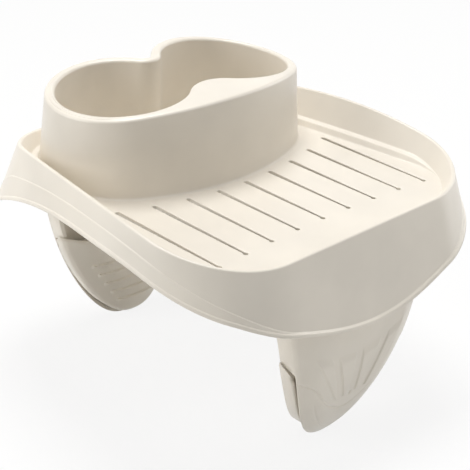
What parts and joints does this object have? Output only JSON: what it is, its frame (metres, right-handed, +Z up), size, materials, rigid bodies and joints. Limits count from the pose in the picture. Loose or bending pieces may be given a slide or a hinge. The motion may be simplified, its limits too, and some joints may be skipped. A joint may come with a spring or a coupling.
{
  "type": "hot tub tray",
  "caption": "Snack tray with a slotted floor and a double cup well, hung over a tub wall by curved legs with ribbed grip pads.",
  "frame": {"origin": "on the underside of the tray floor, half way between the two legs, where the top of the tub wall bears", "axes": "+Z up; +X along the tub wall, the part is mirror-symmetric about X = 0; +Y from the slotted end of the tray towards the cup wells"},
  "size_m": [0.2532, 0.2623, 0.1945],
  "materials": {
    "tray_plastic": "smooth satin gloss, ivory",
    "leg_plastic": "smooth satin gloss, ivory"
  },
  "bodies": {
    "root": {"tray": "tray_plastic", "front_leg": "leg_plastic", "front_leg_pad": "leg_plastic", "rear_leg": "leg_plastic", "rear_leg_pad": "leg_plastic"}
  },
  "joints": []
}
